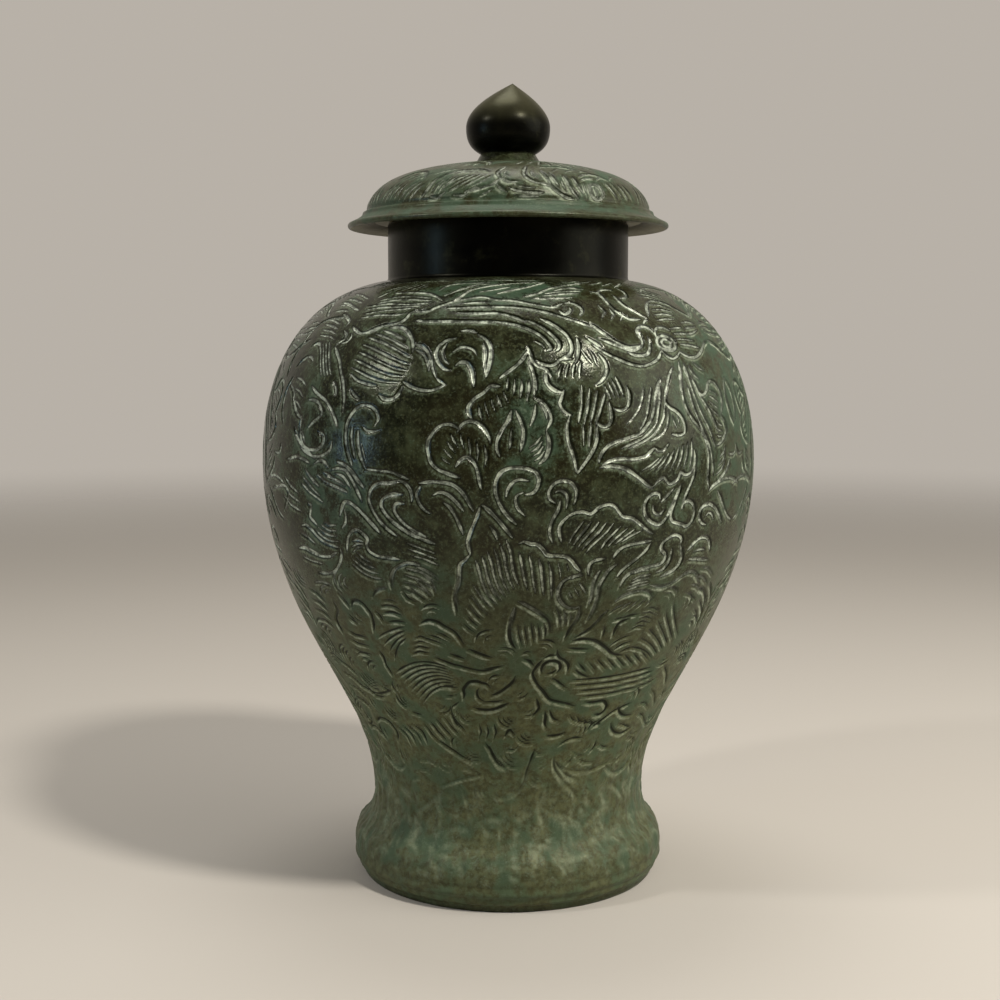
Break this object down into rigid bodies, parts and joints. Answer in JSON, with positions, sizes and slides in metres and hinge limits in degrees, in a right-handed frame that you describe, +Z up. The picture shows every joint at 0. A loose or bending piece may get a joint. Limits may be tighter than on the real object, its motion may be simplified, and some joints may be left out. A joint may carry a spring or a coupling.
{
  "type": "ginger jar",
  "caption": "Lidded baluster ginger jar in patinated bronze, chased all over with leaf scrolls, with a smooth collar neck and a domed lid with a bud knob that lifts off.",
  "frame": {"origin": "on the surface that the jar stands on, at the centre of its foot", "axes": "+Z up along the jar's axis, from the foot to the knob; -Y faces the picture's viewer and +X is to the viewer's right"},
  "size_m": [0.1896, 0.1896, 0.3052],
  "materials": {
    "chased_bronze": "dark green and brown patina, satin, pale verdigris in the chased lines",
    "dark_bronze": "near-black brown patina, polished",
    "raw_bronze": "dull unpolished casting",
    "fixing_brass": "plain turned metal"
  },
  "bodies": {
    "jar": {"jar_body": "chased_bronze", "floor_plate": "raw_bronze", "neck_collar": "dark_bronze"},
    "lid": {"lid_shell": "chased_bronze", "lid_seat_ring": "raw_bronze", "knob": "dark_bronze", "knob_stud": "fixing_brass", "knob_washer": "fixing_brass", "knob_nut": "fixing_brass"}
  },
  "joints": [
    {"name": "lid_lift", "type": "slide", "parent": "jar", "child": "lid", "axis": [0, 0, 1], "range_m": [0, 0.15]}
  ]
}
